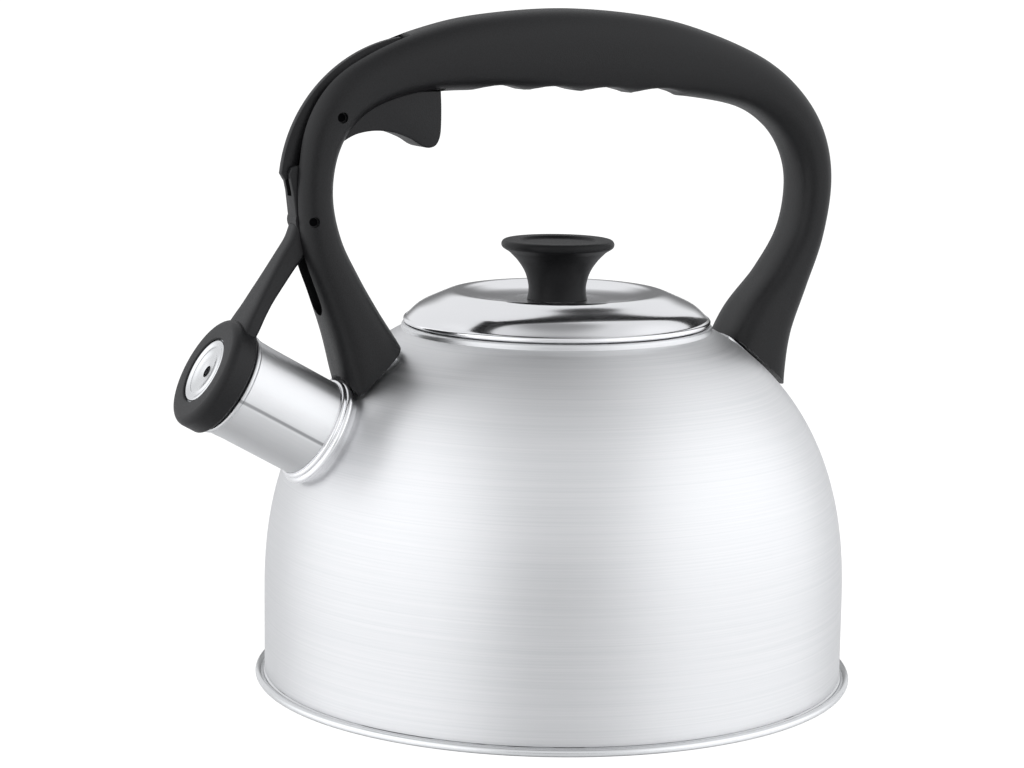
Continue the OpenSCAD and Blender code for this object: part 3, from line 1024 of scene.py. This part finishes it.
@dataclass
class LeverAssembly:
    """The squeeze trigger, and the forked arm whose cap carries the whistle."""

    spout: SpoutAssembly
    trigger_at: Point = (-88.1, 207.6)
    arm_at: Point = (-98.3, 171.9)
    rib_centre: Point = (-54.0, 182.2)
    rib_r: float = 53.3
    bore_r: float = 1.54
    hub_r: float = 4.6
    hub_half: float = 4.4
    cap_r: float = 20.3
    cap_low: float = 39.0
    cap_high: float = 48.0
    whistle_r: float = 12.2

    def trigger(self) -> Object:
        """The trigger: a curved rib in the slot, a web and a soft-edged finger pad.

        Returns:
            The piece.
        """
        rib = [*arc(self.rib_centre, self.rib_r, 99.5, 173.6, 40), (-105.6, 185.8),
               (-102.9, 187.4), *arc(self.rib_centre, self.rib_r - 5.4, 172, 130, 20),
               (-84, 205), (-76, 207), (-68, 221.6), (-62, 228.6)]
        obj = as_object(slab(rib, 1.6, 0.3, 2), "trigger")
        web = [*arc(self.trigger_at, 5, 165, 270, 16), (-80, 203.5), (-71, 205),
               (-74.5, 216), (-79, 220.6), (-87, 216)]
        carve(obj, slab(web, 4.4, 0.4, 2), Cut.ADD)
        pad = [(-87.5, 199.4), *flowing([(-86.2, 199), (-81.2, 201.5), (-74.5, 202.6),
                                         (-67.4, 201.9), (-61, 199.6), (-57, 197.2),
                                         (-54, 196.3), (-51.2, 197.2), (-49.6, 200.4),
                                         (-49.2, 205.5), (-49.2, 211)], 6),
               (-49.4, 216.4), (-72, 216.4), (-78, 213.4), (-80, 210)]
        carve(obj, slab(pad, 6.7, 1.3, 4), Cut.ADD)
        carve(obj, rod(self.trigger_at, self.bore_r))
        return obj

    def housing(self) -> BMesh:
        """The cap's round housing with its rounded front edge.

        Returns:
            The closed ring.
        """
        outline = [(self.whistle_r - 1.4, self.cap_low + 1.6),
                   (self.whistle_r + 0.6, self.cap_low + 1.6),
                   (self.whistle_r + 0.6, self.cap_low),
                   *arc((self.cap_r - 1.2, self.cap_low + 1.2), 1.2, -90, 0, 8),
                   *arc((self.cap_r - 3, self.cap_high - 3), 3, 0, 90, 14),
                   *arc((self.whistle_r + 0.6, self.cap_high - 0.6), 0.6, 90, 180, 6),
                   (self.whistle_r, self.cap_low + 3.2),
                   (self.whistle_r - 1.4, self.cap_low + 3.2)]
        return lathe(outline, 144, self.spout.place())

    def arm(self) -> Object:
        """The arm, from its forked top past the pivot to the cap.

        Returns:
            The piece.
        """
        bar = flowing([(-98.9, 169.4, 8.2, 8.7, 4), (-100.7, 163.9, 8.6, 9.0, 4.4),
                       (-104.9, 158.3, 7.3, 9.8, 4.6), (-109.2, 152.2, 6.5, 11.4, 4.8),
                       (-113.8, 145.6, 5.8, 13.8, 4.8), (-116.8, 140.9, 5.7, 16, 4.6),
                       (-119.9, 135.9, 6.2, 18.8, 4.2), (-121.9, 132.6, 6.2, 19.6, 4)], 8)
        obj = as_object(sweep(bar, 56), "arm")
        top = rounded([(-102.1, 168, 0), (-103.7, 182, 2), (-105, 188, 1.2),
                       (-104.2, 190.3, 1), (-102.6, 191, 0.8), (-100.6, 191, 0.8),
                       (-100.2, 180, 3), (-96, 176, 1), (-96, 168, 0)], 5)
        carve(obj, slab(top, self.hub_half, 0.5, 3), Cut.ADD)
        carve(obj, rod(self.arm_at, self.hub_r, -self.hub_half, self.hub_half, 64), Cut.ADD)
        carve(obj, self.housing(), Cut.ADD)
        carve(obj, slab([(-110, 180.3), (-96, 180.3), (-96, 200), (-110, 200)], 2))
        carve(obj, rod(self.arm_at, self.bore_r))
        carve(obj, rod(self.arm_at, 2.8, -2.1, 2.1))
        carve(obj, slab([(-97.8, 166), (-92, 166), (-92, 178.6), (-98.8, 178.6),
                         (-98.8, 172.5), (-97.8, 172.5)], 2.1))
        return obj

    def face(self) -> Object:
        """The whistle's pressed face: a raised edge, a shallow ring and a small hole.

        Returns:
            The piece.
        """
        s = self.cap_high - 0.3
        edge = self.whistle_r - 0.5
        outline = [(2.2, s - 1.6), (3.6, s - 1.6), (4.4, s - 1.2), (8.6, s - 1.2),
                   (9.4, s - 1.1), (edge, s - 1.1),
                   *arc((edge - 0.6, s - 0.6), 0.6, 0, 90, 6),
                   (10.6, s), (9.9, s - 0.6), (9.0, s - 0.65), (8.4, s - 0.25),
                   (7.6, s - 0.25), (6.9, s - 0.65), (4.8, s - 0.7), (3.8, s - 0.95),
                   (2.8, s - 1.05), (2.2, s - 1.2)]
        return as_object(lathe(outline, 96, self.spout.place()), "whistle")

    def build(self) -> None:
        """Builds the trigger, the arm and the whistle's face, and dresses the rest."""
        fit(self.trigger(), "trigger", LEVER_NYLON, "trigger_lever", crease=35)
        fit(self.arm(), "cap", LEVER_NYLON, "cap_arm", crease=38)
        fit(self.face(), "cap", RIM_STEEL, "whistle_face", crease=50)
        dress(SEAL_SILICONE, "cap_seal")
        dress(DISC_ALUMINIUM, "whistle_spacer")
        dress(MIRROR_STEEL, "whistle_back")


@dataclass
class Studio:
    """A white floor, broad soft light from both sides, and the camera."""

    turn: float = -26.0
    distance: float = 948.3
    height: float = 263.4
    focal: float = 2619.0
    pitch: float = 9.299
    yaw: float = 0.969
    roll: float = 0.719
    image_w: int = 1024
    sensor_w: float = 36.0
    floor_size: float = 12000.0
    white_level: float = 1.1
    room_level: float = 0.92
    patches: Sequence[tuple[float, float, Point, float]] = (
        (-72, 6, (20, 62), 0.7), (80, 6, (20, 62), 0.66), (0, 90, (6, 40), -0.15),
        (0, 96, (3, 22), -0.45), (180, 0, (10, 26), -0.7), (0, -2, (5, 26), -0.35))

    def around(self, turn: float, distance: float, height: float) -> Vector:
        """A place round the kettle, its turn in degrees from the camera's side."""
        a = math.radians(self.turn + turn)
        return Vector((distance * math.sin(a), -distance * math.cos(a), height)) * MM

    def camera(self) -> None:
        """Places the camera in front, towards the spout's side."""
        facing = math.radians(self.turn + self.yaw)
        pitch, roll = math.radians(self.pitch), math.radians(self.roll)
        level = Vector((-math.sin(facing), math.cos(facing), 0))
        right = Vector((math.cos(facing), math.sin(facing), 0))
        ahead = level * math.cos(pitch) - Vector((0, 0, math.sin(pitch)))
        up = right.cross(ahead)
        side = right * math.cos(roll) + up * math.sin(roll)
        top = up * math.cos(roll) - right * math.sin(roll)
        data = bpy.data.cameras.new("camera")
        data.sensor_width = self.sensor_w
        data.lens = self.focal / self.image_w * self.sensor_w
        cam = bpy.data.objects.new("camera", data)
        bpy.context.scene.collection.objects.link(cam)
        place = Matrix((side, top, -ahead)).transposed().to_4x4()
        place.translation = self.around(0, self.distance, self.height)
        cam.matrix_world = place
        bpy.context.scene.camera = cam

    def toward(self, turn: float, rise: float) -> Corner:
        """A direction, from its turn off the camera's side and its rise, in degrees."""
        a, b = math.radians(self.turn + turn), math.radians(rise)
        return math.sin(a) * math.cos(b), -math.cos(a) * math.cos(b), math.sin(b)

    def patch(self, tree: NodeTree, total: NodeSocket, turn: float,
              rise: float, spread: Point, amount: float) -> NodeSocket:
        """A soft round patch of light or shade in the room.

        Args:
            tree: The world's nodes.
            total: The brightness so far.
            turn: The patch's turn off the camera's side, in degrees.
            rise: Its rise over the floor, in degrees.
            spread: Angles off its middle where it starts to fade and where it has gone.
            amount: The brightness that it adds, or takes away if negative.

        Returns:
            The brightness with the patch.
        """
        ray = add_node(tree, "TexCoord").outputs["Generated"]
        near = add_node(tree, "VectorMath",
                        {"operation": "DOT_PRODUCT", 1: self.toward(turn, rise)}, {0: ray})
        soft = add_node(tree, "MapRange",
                        {"interpolation_type": "SMOOTHSTEP",
                         "From Min": math.cos(math.radians(spread[1])),
                         "From Max": math.cos(math.radians(spread[0])),
                         "To Min": 0.0, "To Max": amount}, {"Value": near.outputs["Value"]})
        return add_node(tree, "Math", {"operation": "ADD"}, {0: total, 1: soft}).outputs[0]

    def show_white(self, tree: NodeTree, real: Node, kind: str) -> NodeSocket:
        """Shows the camera plain white, while all other rays meet the real shader.

        Args:
            tree: The nodes of the world or of the material.
            real: The shader that the other rays meet.
            kind: The type of the white shader.

        Returns:
            The mixed shader.
        """
        seen = add_node(tree, "LightPath").outputs["Is Camera Ray"]
        white = add_node(tree, kind, {"Color": (1, 1, 1, 1), "Strength": self.white_level})
        return add_node(tree, "MixShader", links={0: seen, 1: real, 2: white}).outputs[0]

    def world(self) -> None:
        """White behind the kettle, and a grey room with a broad soft light on each side."""
        world = bpy.data.worlds.new("studio")
        world.use_nodes = True
        tree = world.node_tree
        tree.nodes.clear()
        level = add_node(tree, "Value").outputs[0]
        level.default_value = self.room_level
        for turn, rise, spread, amount in self.patches:
            level = self.patch(tree, level, turn, rise, spread, amount)
        room = add_node(tree, "Background", {"Color": linear("#fcfdff")}, {"Strength": level})
        add_node(tree, "OutputWorld", links={0: self.show_white(tree, room, "Background")})
        bpy.context.scene.world = world

    def floor(self) -> None:
        """A wide floor, seen as the same white as the background, with a soft shine."""
        bm = bmesh.new()
        bmesh.ops.create_grid(bm, x_segments=1, y_segments=1, size=self.floor_size * MM)
        obj = as_object(bm, "floor")
        material = bpy.data.materials.new("pale_floor")
        material.use_nodes = True
        tree = material.node_tree
        tree.nodes.clear()
        shine = add_node(tree, "BsdfPrincipled",
                         {"Base Color": linear("#f6f6f6"), "Metallic": 0.85,
                          "Roughness": 0.3})
        add_node(tree, "OutputMaterial", links={0: self.show_white(tree, shine, "Emission")})
        obj.data.materials.append(material)

    def build(self) -> None:
        """Sets up the camera, the room with its soft light and the floor."""
        self.camera()
        self.world()
        self.floor()
        bpy.context.scene.view_settings.view_transform = "Standard"


def main() -> None:
    """Builds the studio and every sub-assembly, in order."""
    logging.basicConfig(level=logging.INFO, format="%(name)s: %(message)s")
    Studio().build()
    body = BodyAssembly()
    body.build()
    spout = SpoutAssembly(body)
    spout.build()
    LidAssembly().build()
    HandleAssembly(body, spout).build()
    LeverAssembly(spout).build()


if __name__ == "__main__":
    main()
